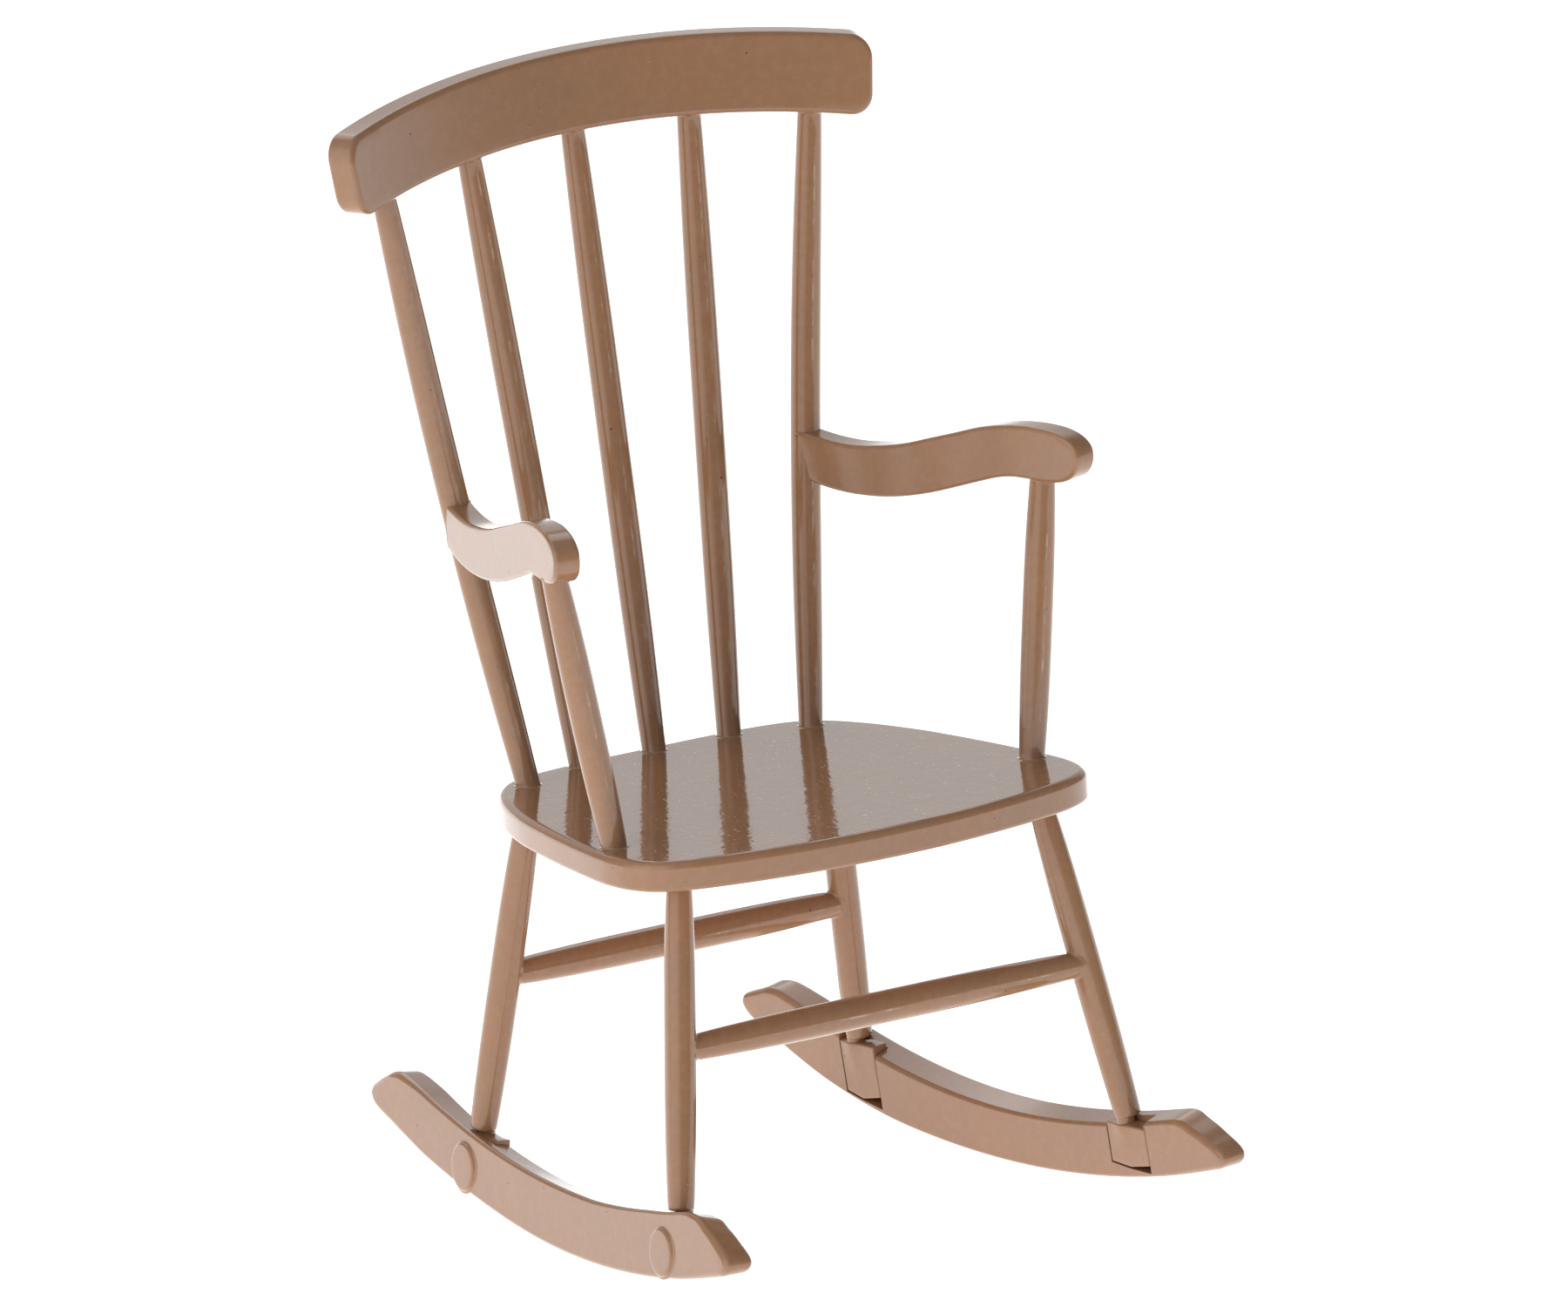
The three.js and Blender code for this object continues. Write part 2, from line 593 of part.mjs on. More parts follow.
// ---- seat with its sockets ----------------------------------------------
function seat() {
  let body = seatBlank();
  [1, 2, 3, 4, 5].forEach((number) => {
    const { a, b } = spindleLine(number);
    body = body.subtract(rod(along(a, b, -SEAT_TENON - 0.1), along(a, b, 2), 1.1 + GAP));
  });
  [-1, 1].forEach((side) => {
    const a = swap(POST_FOOT, side);
    const b = swap(POST_HEAD, side);
    body = body.subtract(rod(along(a, b, -SEAT_TENON - 0.1), along(a, b, 2), 1.1 + GAP));
    ['front', 'rear'].forEach((row) => {
      const line = legLine(row, side);
      const length = vec(line.a).distanceTo(vec(line.b));
      const low = along(line.a, line.b, length - 2);
      const high = along(line.a, line.b, length + LEG_TENON + 0.1);
      body = body.subtract(rod(low, high, 1.1 + GAP));
    });
  });
  return body;
}

function crest() {
  let body = crestBlank();
  [1, 2, 3, 4, 5].forEach((number) => {
    const { a, b, length } = spindleLine(number);
    body = body.subtract(rod(along(a, b, length - 2.5), along(a, b, length + 2.7), 0.95 + GAP));
  });
  return body;
}

// ---- assembly -----------------------------------------------------------
const pieces = [
  ['seat', seat(), 0xb08a70],
  ['crest_rail', crest(), 0x93705a],
];
[1, 2, 3, 4, 5].forEach((number) => {
  pieces.push([`back_spindle_${number}`, spindle(number), 0xa27a60]);
});
[['right', -1], ['left', 1]].forEach(([name, side]) => {
  pieces.push([`arm_${name}`, arm(side), 0xb48f78]);
  pieces.push([`arm_post_${name}`, armPost(side), 0xa98066]);
  pieces.push([`leg_front_${name}`, leg('front', side), 0xb58d72]);
  pieces.push([`leg_rear_${name}`, leg('rear', side), 0xb58d72]);
  pieces.push([`rocker_${name}`, rocker(side), 0xc3a38e]);
  pieces.push([`rocker_pin_front_${name}`, rockerPin(side, feet(side)[0]), 0xc3a38e]);
  pieces.push([`rocker_pin_rear_${name}`, rockerPin(side, feet(side)[1]), 0xc3a38e]);
});
pieces.push(['stretcher_front', stretcher('front'), 0xb58d72]);
pieces.push(['stretcher_rear', stretcher('rear'), 0xb58d72]);

// Tip the chair back, then stand it on z = 0 with its box centred on x = y = 0.
const pose = new THREE.Matrix4().makeRotationX(THREE.MathUtils.degToRad(-REST_PITCH));
const group = new THREE.Group();
group.name = 'miniature_rocking_chair';
pieces.forEach(([name, body, color]) => {
  const data = body.getMesh();
  const geometry = new THREE.BufferGeometry();
  geometry.setAttribute('position', new THREE.BufferAttribute(data.vertProperties, 3));
  geometry.setIndex(new THREE.BufferAttribute(data.triVerts, 1));
  geometry.applyMatrix4(pose);
  const material = new THREE.MeshStandardMaterial({ color, roughness: 0.22, metalness: 0 });
  const mesh = new THREE.Mesh(geometry, material);
  mesh.name = name;
  group.add(mesh);
});
const box = new THREE.Box3().setFromObject(group);
const centre = box.getCenter(new THREE.Vector3());
group.children.forEach((mesh) => {
  mesh.geometry.translate(-centre.x, -centre.y, -box.min.z);
  mesh.geometry.computeVertexNormals();
});

export default group;
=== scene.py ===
"""Miniature rocking chair in glossy enamelled metal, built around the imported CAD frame.

The chair is drawn in a design frame in millimetres: seat top at z = 0, chair facing -y,
+x the sitter's left. `stand` then tips it to its resting pose and sets it on the CAD.
"""

import math

import bmesh
import bpy
import numpy as np
from mathutils import Matrix, Vector, noise
from mathutils.bvhtree import BVHTree


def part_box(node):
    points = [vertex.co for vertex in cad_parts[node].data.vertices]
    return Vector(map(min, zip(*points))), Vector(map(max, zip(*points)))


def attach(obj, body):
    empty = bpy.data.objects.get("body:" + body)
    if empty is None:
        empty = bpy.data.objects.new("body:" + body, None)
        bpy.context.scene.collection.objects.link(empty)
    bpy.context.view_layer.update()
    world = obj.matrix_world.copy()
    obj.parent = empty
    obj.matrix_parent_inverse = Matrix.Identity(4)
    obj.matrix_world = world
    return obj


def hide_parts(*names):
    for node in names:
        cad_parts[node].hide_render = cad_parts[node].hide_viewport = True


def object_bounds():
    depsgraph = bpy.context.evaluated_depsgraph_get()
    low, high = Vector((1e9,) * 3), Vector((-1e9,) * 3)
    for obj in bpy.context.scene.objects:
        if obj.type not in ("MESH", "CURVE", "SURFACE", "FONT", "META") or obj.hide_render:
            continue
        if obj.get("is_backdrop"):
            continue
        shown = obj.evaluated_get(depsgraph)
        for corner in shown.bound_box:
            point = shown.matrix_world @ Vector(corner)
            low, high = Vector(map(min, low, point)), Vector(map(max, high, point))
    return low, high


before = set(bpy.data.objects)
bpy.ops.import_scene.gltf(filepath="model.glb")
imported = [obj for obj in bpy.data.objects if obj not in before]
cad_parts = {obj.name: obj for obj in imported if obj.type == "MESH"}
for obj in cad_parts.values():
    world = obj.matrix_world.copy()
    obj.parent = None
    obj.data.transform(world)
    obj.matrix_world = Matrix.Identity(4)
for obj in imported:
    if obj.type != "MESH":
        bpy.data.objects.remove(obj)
cad_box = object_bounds()

# ---- driving dimensions in millimetres and degrees: the CAD model's, but for small gaps,
# rims and fillets. Side -1 is the sitter's right, 1 the left.
REST_PITCH = 4.92

SEAT_THICK = 3.6
SEAT_HALF = [
    (0, 39), (9, 38.9), (15.6, 38.3), (19.6, 37.1), (22.4, 34.7), (24.9, 30.5), (27.7, 22.5),
    (29.4, 14.5), (30.6, 7), (31.4, 0.5), (31.6, -3.2), (31.1, -6.8), (29.6, -9.8),
    (26.4, -12.1), (21, -13.9), (12.8, -15.6), (6, -16.4), (0, -16.6),
]

SPINDLE_FEET = [(19.31, 33.22, 0), (10.1, 36.4, 0), (0, 36.62, 0)]
SPINDLE_HEADS = [(28.94, 39.98, 69.69), (14.92, 43.66, 71.12), (0, 45.03, 71.78)]
OUTER_BOW = 1.0
SPINDLE_END, SPINDLE_BELLY = 1.42, 1.76
BELLY_POWER = 1.6  # how quickly a turned piece swells from its ends

POST_FOOT = (28.46, 0, 0)
POST_HEAD = (33.07, 1.16, 31.61)
POST_END, POST_BELLY = 1.5, 1.8

CREST_RADIUS = 84
CREST_THICK = 3.6
CREST_HALF = 37.6
CREST_FAN = 0.0034
CREST_FAN_Z = 77
CREST_LOW, CREST_HIGH = 72.35, 81.7
CREST_CAMBER = 218
CREST_CORNER = 2.7
CREST_LEAN = 0.117
CREST_Y, CREST_Z = 45.03, 71.8  # middle of the rail's lower edge, where its lean is measured from

ARM_THICK = 3.2
ARM_NOSE = {-1: 1.6, 1: -0.2}  # how far each nose is drawn back, by side
ARM_NOSE_FROM, ARM_NOSE_RUN = 10, 12  # where that starts, and the length it grows over
ARM_FRONT = (33.1, 1.16)
ARM_REAR = (23.8, 37.1)
ARM_EDGE = [
    (36.9, 33.9), (33, 33.3), (29, 33.15), (25, 33.5), (21, 34.2), (17, 35.3), (13, 36.4),
    (9.5, 37.4), (6.5, 38), (3.5, 38.35), (0.3, 38.4), (-2.4, 38.1), (-4.3, 37.4),
    (-5.35, 36.4), (-5.6, 35.2), (-5.3, 34.1), (-4.5, 33.1), (-3.2, 32.4), (-1.5, 32.1),
    (1, 32.05), (3, 32.1), (5, 32.05), (7, 31.7), (10, 30.85), (13.5, 29.8), (17, 28.8),
    (20.5, 28), (24, 27.45), (27, 27.25), (30, 27.25), (33.5, 27.6), (36.9, 28.4),
]
ARM_REAR_TOP, ARM_REAR_LOW = (37.2, 34.05), (37.2, 28.55)  # ends of the outline, inside the spindle

LEG_FOOT_AT = {"front": (30.46, -12.42, -40.5), "rear": (25.86, 37.79, -40.5)}
LEG_RUN = {"front": (-0.158, 0.1364), "rear": (-0.143, -0.163)}
LEG_TOP, LEG_BELLY, LEG_FOOT = 1.46, 1.84, 1.55

STRETCHER_END, STRETCHER_BELLY = 1.5, 1.9
STRETCHER_Z = {"front": -22.5, "rear": -21.97}

ROCKER_THICK = 3.7
ROCKER_INSET = 1.4
ROCKER_LEAN = 6
ROCKER_DRAFT = 0.7
ROCKER_TREAD, ROCKER_TOP = 150, 143
ROCKER_MID = 22.5
ROCKER_LOW = -9.3
ROCKER_HEIGHT = 6.95
ROCKER_ENDS = {-1: (-15.8, 75.3), 1: (-18.9, 71)}
ROCKER_TAIL = {-1: -1.35, 1: 2.9}
ROCKER_TAIL_POWER = 1.8
TREAD_BEND_START, TOP_BEND_START = 42, 20
ROCKER_NOSE_LIFT = {-1: 0.4, 1: 0.1}
NOSE_LIFT_FROM, NOSE_LIFT_RUN = 18, 13
DRAFT_LOSS, DRAFT_LOSS_FROM, DRAFT_LOSS_RUN = 0.6, 56, 10  # the draft dies away at the tail
TREAD_SHORT = (2.2, 2.1)  # how far the rolling edge stops short of the front and rear ends
TOP_SHORT = (10.2, 12)
# Ends of a rocker from the side: (distance from the end's limit, height above the rolling edge)
TAIL_OUTLINE = [
    (-1, .15), (-.3, .6), (0, 1.3), (-.35, 2.25), (-1.6, 3.4), (-3.6, 4.9), (-5.4, 6.1),
    (-7.2, 6.8), (-9, 7.05),
]
NOSE_OUTLINE = [
    (8.6, 7.15), (7.4, 6.85), (6, 6), (4.2, 4.9), (2.6, 3.75), (1.3, 2.8), (.45, 2), (.05, 1.3),
    (.1, .7), (.6, .25), (1.4, .03),
]
# How much rounder the rims get at the ends, where that starts, and the length it grows over
SOFT_TAIL, SOFT_TAIL_FROM, SOFT_TAIL_RUN = 0.7, 14, 8
SOFT_NOSE, SOFT_NOSE_FROM, SOFT_NOSE_RUN = 0.5, 12, 6

PLATE_DEPTH = 2
PLATE_BACK = {"front": 2.5, "rear": 1.9}
PLATE_FORE = {"front": 4.6, "rear": 4.3}
PLATE_LOW = {"front": (-5.75, -6.0, -5.35), "rear": (-5.05, -5.7, -5.05)}
POCKET_LOW = {"front": (-5.87, -6.15, -6.2), "rear": (-5.17, -5.85, -6.45)}
PLATE_GAP = 0.14
PLATE_KINK = 0.9  # how far in front of the foot the lower edge of plate and pocket bends
PLATE_SWELL, PLATE_SWELL_WIDTH = 0.24, 1.25  # the leg's roundness, dying out down the plate
SHAFT_LIFT = 0.22
NECK_RADIUS, NECK_SINK = 1.1, 0.4  # rod that ties the shaft to its plate

PIN_HEAD = 2.8
PIN_RISE = 0.4
PIN_DROP = {"front": 4.65, "rear": 3.92}
PIN_WALL, PIN_ROUND = 0.16, 0.42
# Paint run out around the head: (height above the rocker's face, distance past the head)
PIN_SKIRT = [(-0.15, 0.34), (0.0, 0.34), (0.02, 0.2), (0.06, 0.09), (0.12, 0.02)]

# Radii of the rims, lower or inner face first, and of the paint in corners between pieces
SEAT_RIMS, CREST_RIMS, ARM_RIMS = (0.55, 0.95), (0.65, 0.65), (0.5, 0.5)
ROCKER_RIMS, PLATE_RIMS = (0.5, 0.55), (0.22, 0.1)
FILLET_SEAT, FILLET_CREST, FILLET_ARM, FILLET_LEG = 0.28, 0.34, 0.08, 0.3

# Parting line of the turned pieces: the way it faces and how high it stands
SEAM_FACING = (-0.12, -0.99, 0.0)
SEAM_SPINDLE, SEAM_POST, SEAM_LEG = 0.08, 0.03, 0.02

SHARP, SHARP_TURNED, SHARP_PIN = 35, 60, 70  # edges sharper than this stay hard, degrees

# ---- paint and light ------------------------------------------------------------
ENAMEL = (0.322, 0.169, 0.089)  # linear colour of the enamel
ENAMEL_WARM = (0.343, 0.173, 0.087)
ENAMEL_PAINTED_HIGHLIGHT = (0.56, 0.42, 0.33)  # pale enamel for the painted highlight on the parting lines and the painted sheen in the clouds
SPECK = (0.035, 0.022, 0.016)
FLOOR_GLOW = 0.97
STUDIO_GLOW = 0.19  # strength of the room between the soft sources
# Soft round sources: direction, full inside, none past (both degrees), strength
GLOWS = [
    ((-0.97, -0.22, 0.3), 18, 50, 1.15),
    ((0.5, 0.85, 0.12), 20, 50, 0.5),
    ((0.30, 0.85, 0.85), 14, 24, 1.2),
    ((-0.45, 0.1, 0.9), 10, 60, 0.4),
]

# ---- camera, metres and degrees -------------------------------------------------
AIM = (-0.000797, -0.005531, 0.067302)  # the point the lens axis passes, inside the chair
AZIMUTH, ELEVATION, ROLL = -32.166, 17.502, -1.256
DISTANCE = 5.703
SENSOR, LENS = 36, 1140.6  # millimetres

# ---- frames ---------------------------------------------------------------------
tip = np.array(Matrix.Rotation(math.radians(-REST_PITCH), 3, "X"))
shift = np.zeros(3)  # where the design frame stands, set from the CAD seat below


def stand(points):
    """From the design frame in millimetres to the resting chair in metres."""
    return (np.asarray(points, float) @ tip.T + shift) / 1000


def unit(v):
    v = np.asarray(v, float)
    return v / np.linalg.norm(v)


def swap(p, side):
    """A point given for the left side, on the side wanted: 1 is left, -1 right."""
    return np.array([p[0] * side, p[1], p[2]], float)


# ---- mesh helpers ---------------------------------------------------------------
def catmull(points, steps, closed):
    """Centripetal Catmull-Rom curve through the points."""
    pts = np.asarray(points, float)
    count = len(pts)
    out = []
    for i in range(count if closed else count - 1):
        p1, p2 = pts[i], pts[(i + 1) % count]
        p0 = pts[i - 1] if closed or i > 0 else 2 * p1 - p2
        p3 = pts[(i + 2) % count] if closed or i + 2 < count else 2 * p2 - p1
        spans = ((p0, p1), (p1, p2), (p2, p3))
        d0, d1, d2 = (max(np.linalg.norm(q - p) ** 0.5, 1e-4) for p, q in spans)
        m1 = ((p1 - p0) / d0 - (p2 - p0) / (d0 + d1) + (p2 - p1) / d1) * d1
        m2 = ((p2 - p1) / d1 - (p3 - p1) / (d1 + d2) + (p3 - p2) / d2) * d1
        for s in np.arange(steps) / steps:
            a, b = s * s * (2 * s - 3) + 1, s * s * (3 - 2 * s)
            out.append(a * p1 + b * p2 + s * (s - 1) ** 2 * m1 + s * s * (s - 1) * m2)
    if not closed:
        out.append(pts[-1])
    return np.array(out)


def pair(loop, count):
    """Splits a closed outline at its two ends into a lower and an upper chain."""
    first, last = int(loop[:, 0].argmin()), int(loop[:, 0].argmax())
    rolled = np.roll(loop, -first, axis=0)
    turn = (last - first) % len(loop)
    one = rolled[: turn + 1]
    two = np.vstack([rolled[turn:], rolled[:1]])[::-1]
    t = (np.arange(count) + 0.3) / (count - 0.4)
    u = loop[first, 0] + (loop[last, 0] - loop[first, 0]) * (1 - np.cos(np.pi * t)) / 2
    chains = [np.c_[u, np.interp(u, np.maximum.accumulate(c[:, 0]), c[:, 1])] for c in (one, two)]
    chains.sort(key=lambda c: c[:, 1].mean())
    return chains


def mesh_object(name, points, faces, sharp=SHARP):
    """A closed mesh object in the chair's resting pose, shaded smooth."""
    mesh = bpy.data.meshes.new(name)
    mesh.from_pydata([tuple(p) for p in stand(points)], [], faces)
    bm = bmesh.new()
    bm.from_mesh(mesh)
    bmesh.ops.remove_doubles(bm, verts=bm.verts, dist=1e-8)
    bmesh.ops.recalc_face_normals(bm, faces=bm.faces)
    if bm.calc_volume(signed=True) < 0:
        bmesh.ops.reverse_faces(bm, faces=bm.faces)
    bm.to_mesh(mesh)
    bm.free()
    obj = bpy.data.objects.new(name, mesh)
    bpy.context.scene.collection.objects.link(obj)
    shade(obj, sharp)
    return obj


def shade(obj, sharp):
    """Smooth shading, with hard edges where faces meet at more than sharp degrees."""
    mesh = obj.data
    mesh.shade_smooth()
    bm = bmesh.new()
    bm.from_mesh(mesh)
    for edge in bm.edges:
        edge.smooth = len(edge.link_faces) == 2 and edge.calc_face_angle(0) < math.radians(sharp)
    bm.to_mesh(mesh)
    bm.free()


def weigh(obj):
    """Large faces keep their own normal, so flat faces stay flat beside their rims."""
    modifier = obj.modifiers.new("weights", "WEIGHTED_NORMAL")
    modifier.keep_sharp = True
    modifier.weight = 60


def slab(name, low, high, depth, rims, place, rows=1, arc=6, soften=None):
    """Slab with rounded rims between two chains of outline points that run side by side.

    rims are the two rims' radii, place turns (across, up, depth) into the design frame, and
    soften gives a factor for the rims at each outline point."""
    count = len(low)
    loop = np.vstack([low, high[::-1]])
    run = np.roll(loop, -1, axis=0) - loop
    run /= np.maximum(np.linalg.norm(run, axis=1, keepdims=True), 1e-9)
    mean = run + np.roll(run, 1, axis=0)
    mean /= np.maximum(np.linalg.norm(mean, axis=1, keepdims=True), 1e-9)
    inward = np.c_[-mean[:, 1], mean[:, 0]]
    area = 0.5 * np.sum(loop[:, 0] * np.roll(loop[:, 1], -1) - np.roll(loop[:, 0], -1) * loop[:, 1])
    if area < 0:
        inward = -inward
    angles = np.linspace(0, np.pi / 2, arc + 1)
    stations = [(rims[0] * (1 - math.cos(t)), rims[0] * (1 - math.sin(t))) for t in angles]
    stations += [(depth - rims[1] * (1 - math.cos(t)), rims[1] * (1 - math.sin(t)))
                 for t in angles[::-1]]
    factor = np.ones(len(loop)) if soften is None else soften(loop)
    rings = [loop + inward * (shrink * factor)[:, None] for _, shrink in stations]
    depths = [np.where(w < depth / 2, w * factor, depth - (depth - w) * factor)
              for w, _ in stations]
    points = [place(r[:, 0], r[:, 1], w) for r, w in zip(rings, depths)]
    total = 2 * count
    faces = tube_faces(len(rings), total)
    base = len(rings) * total
    for k, w in ((0, 0.0), (len(rings) - 1, depth)):
        ring = rings[k]
        lows, highs = ring[:count], ring[count:][::-1]
        columns = [[k * total + i] for i in range(count)]
        for row in range(1, rows):
            share = row / rows
            mid = (lows * (1 - share) + highs * share)[1:-1]
            points.append(place(mid[:, 0], mid[:, 1], np.full(len(mid), w)))
            for i in range(1, count - 1):
                columns[i].append(base + i - 1)
            base += count - 2
        for i in range(count):
            columns[i].append(k * total + total - 1 - i)
        for i in range(count - 1):
            a, b = columns[i], columns[i + 1]
            if len(a) != len(b):
                faces.append(tuple(a + b[::-1]))
                continue
            faces.extend((a[r], a[r + 1], b[r + 1], b[r]) for r in range(len(a) - 1))
    return mesh_object(name, np.vstack(points), faces)


def tube_faces(rings, segments):
    """Quads between rings of points that follow one another."""
    faces = []
    for k in range(rings - 1):
        for i in range(segments):
            here, there = k * segments, (k + 1) * segments
            j = (i + 1) % segments
            faces.append((here + i, here + j, there + j, there + i))
    return faces


def bvh(obj):
    """Search tree over a finished piece, in world metres."""
    points = [v.co.copy() for v in obj.data.vertices]
    return BVHTree.FromPolygons(points, [tuple(f.vertices) for f in obj.data.polygons])


def belly_at(t):
    """Slim ends that swell quickly to a long straight belly: 0 at the ends, 1 midway."""
    return 1 - (1 - np.sin(np.pi * np.clip(t, 0, 1))) ** BELLY_POWER


def bobbin(end, belly):
    return lambda t: end + (belly - end) * belly_at(t)


def turned(name, a, b, radius, fits, bow=0.0, edge=0.3, seam=None, rings=56):
    """Turned rod from a to b.

    fits gives, for each end, (tree, fillet) or None: the end is drawn out to the surface it
    meets and flares into it like paint in a corner, or it is free, with a rounded edge.
    seam is (height, seed) of the broken parting line down the rod's front."""
    segments = 64
    blend = 6.0  # length over which an end is drawn out to its surface
    a, b = np.asarray(a, float), np.asarray(b, float)
    reach = np.linalg.norm(b - a)
    axis = (b - a) / reach
    side = np.array([0.0, 1, 0]) if abs(axis[0]) > 0.8 else np.array([1.0, 0, 0])
    u = unit(np.cross(side, axis))
    v = np.cross(axis, u)
    angle = 2 * np.pi * np.arange(segments) / segments
    radial = np.outer(np.cos(angle), u) + np.outer(np.sin(angle), v)

    def surface(tree, end, ring_radius):
        """How far past the nominal end the surface lies, for each point of a ring."""
        inner = min(7.0, reach / 2)  # the rays start this far inside the end
        origin = (a + axis * inner if end == 0 else b - axis * inner) + radial * ring_radius
        heading = -axis if end == 0 else axis
        turn = tip @ heading
        found = []
        for p in stand(origin):
            hit = tree.ray_cast(Vector(p), Vector(turn), 0.014)  # metres
            found.append(hit[3] * 1000 - inner if hit[0] is not None else np.nan)
        found = np.array(found)
        good = np.flatnonzero(~np.isnan(found))
        if not len(good):
            return np.zeros(segments)
        return np.interp(np.arange(segments), good, found[good], period=segments)

    stations = []  # (distance from its end, radius, end, surface offsets)
    for end in (0, 1):
        fit = fits[end]
        own = radius(0.0 if end == 0 else 1.0)
        if fit:
            tree, fillet = fit
            part = [(-0.2, own + fillet)]  # just under the surface
            part += [(fillet * (1 - math.sin(t)), own + fillet * (1 - math.cos(t)))
                     for t in np.linspace(np.pi / 2, 0, 6)]
            part = [(h, r, surface(tree, end, r)) for h, r in part]
            start = fillet
        else:
            part = [(0.0, own * 0.5), (0.0, own - edge)]
            part += [(edge * (1 - math.sin(t)), own - edge * (1 - math.cos(t)))
                     for t in np.linspace(np.pi / 2, 0, 6)]
            part = [(h, r, np.zeros(segments)) for h, r in part]
            start = edge
        stations.append((part, start, part[-1][2]))
    body = np.linspace(stations[0][1], reach - stations[1][1], rings)[1:-1]
    loops = []
    line_highlight = {}  # strength of the painted highlight along the parting line, by point

    def ring(distance, r):
        share = np.clip(distance / reach, 0, 1)
        spread = radial * (r[:, None] if np.ndim(r) else r)
        points = a + np.outer(np.broadcast_to(distance, segments), axis) + spread
        points[:, 1] += bow * np.sin(np.pi * share)
        return points

    for h, r, offset in stations[0][0]:
        loops.append(ring(h - offset, r))
    for d in body:
        low = max(0.0, 1 - d / blend) ** 2 * stations[0][2]
        high = max(0.0, 1 - (reach - d) / blend) ** 2 * stations[1][2]
        r = np.full(segments, float(radius(d / reach)))
        if seam:
            height, seed = seam
            column = int(np.argmax(radial @ np.asarray(SEAM_FACING, float)))
            waver = noise.noise(Vector((seed * 7.3, d * 0.3, 0.0)))
            lift = max(0.0, min(1.0, 2.4 * (waver + 0.12)))
            r[column] += height * lift
            line_highlight[len(loops) * segments + column] = lift
        loops.append(ring(d - low + high, r))
    for h, r, offset in stations[1][0][::-1]:
        loops.append(ring(reach - h + offset, r))
    last = (len(loops) - 1) * segments
    faces = tube_faces(len(loops), segments)
    faces.append(tuple(range(segments)))
    faces.append(tuple(last + i for i in range(segments)))
    made = mesh_object(name, np.vstack(loops), faces, sharp=SHARP_TURNED)
    if len(made.data.vertices) == len(loops) * segments:  # no points were merged
        # mask of the painted highlight along the parting line
        line = made.data.attributes.new("parting_line", "FLOAT", "POINT")
        for i, value in line_highlight.items():
            line.data[i].value = value
    return made


def cut(obj, cutters):
    """Takes the cutters out of a piece; done in millimetres, which the solver handles better."""
    for body in (obj, *cutters):
        body.data.transform(Matrix.Scale(1000, 4))
    for cutter in cutters:
        modifier = obj.modifiers.new("cut", "BOOLEAN")
        modifier.operation = "DIFFERENCE"
        modifier.solver = "EXACT"
        modifier.object = cutter
    graph = bpy.context.evaluated_depsgraph_get()
    mesh = bpy.data.meshes.new_from_object(obj.evaluated_get(graph))
    obj.modifiers.clear()
    mesh.transform(Matrix.Scale(0.001, 4))
    obj.data = mesh
    for cutter in cutters:
        bpy.data.objects.remove(cutter)
    shade(obj, SHARP)


def join(name, objs):
    """One piece from several overlapping closed bodies."""
    bm = bmesh.new()
    for obj in objs:
        bm.from_mesh(obj.data)
    mesh = bpy.data.meshes.new(name)
    bm.to_mesh(mesh)
    bm.free()
    for obj in objs:
        bpy.data.objects.remove(obj)
    made = bpy.data.objects.new(name, mesh)
    bpy.context.scene.collection.objects.link(made)
    shade(made, SHARP)
    return made


# ---- seat -----------------------------------------------------------------------
def seat_chains(count=150):
    right = list(SEAT_HALF)
    left = [(-x, y) for x, y in SEAT_HALF[1:-1]][::-1]
    return pair(catmull(right + left, 14, True), count)


# The seat is drawn first; the CAD seat's box then says where the design frame stands.
seat = slab("seat_board", *seat_chains(), SEAT_THICK, SEAT_RIMS,
            lambda x, y, w: np.c_[x, y, w - SEAT_THICK], rows=6, arc=8)
corners = np.array([v.co for v in seat.data.vertices])
shift = (np.mean(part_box("seat"), axis=0) - (corners.min(0) + corners.max(0)) / 2) * 1000
seat.data.transform(Matrix.Translation(Vector(shift / 1000)))
on_seat = bvh(seat)


# ---- crest rail -----------------------------------------------------------------
def crest_place(s, z, w):
    turn = s * (1 + CREST_FAN * (z - CREST_FAN_Z)) / CREST_RADIUS
    centre = CREST_Y - CREST_RADIUS + CREST_LEAN * (z - CREST_Z)
    reach = CREST_RADIUS + w - CREST_THICK / 2
    return np.c_[reach * np.sin(turn), centre + reach * np.cos(turn), z]


def crest_chains(count=150):
    s = -CREST_HALF * np.cos(np.pi * np.arange(count) / (count - 1))
    past = np.clip((np.abs(s) - CREST_HALF + CREST_CORNER) / CREST_CORNER, 0, 1)
    corner = CREST_CORNER * (1 - np.sqrt(1 - past ** 2))
    camber = s ** 2 / (2 * CREST_CAMBER)
    return np.c_[s, CREST_LOW - camber + corner], np.c_[s, CREST_HIGH - camber - corner]


crest = slab("crest_board", *crest_chains(), CREST_THICK, CREST_RIMS, crest_place, rows=8, arc=8)
on_crest = bvh(crest)

# ---- spindles -------------------------------------------------------------------
SIDES = ((-1, "right"), (1, "left"))
pieces = {"seat": seat, "crest_rail": crest}
for number, row in enumerate((0, 1, 2, 1, 0), start=1):
    hand = -1 if number < 3 else 1
    pieces[f"back_spindle_{number}"] = turned(
        f"spindle_{number}", swap(SPINDLE_FEET[row], hand), swap(SPINDLE_HEADS[row], hand),
        bobbin(SPINDLE_END, SPINDLE_BELLY), ((on_seat, FILLET_SEAT), (on_crest, FILLET_CREST)),
        bow=OUTER_BOW if row == 0 else 0.0, seam=(SEAM_SPINDLE, number))


# ---- arms and posts -------------------------------------------------------------
def arm_chains(count=90):
    """Outline of an arm, carried on into the middle of its spindle."""
    return pair(catmull([ARM_REAR_TOP] + ARM_EDGE + [ARM_REAR_LOW], 10, False), count)


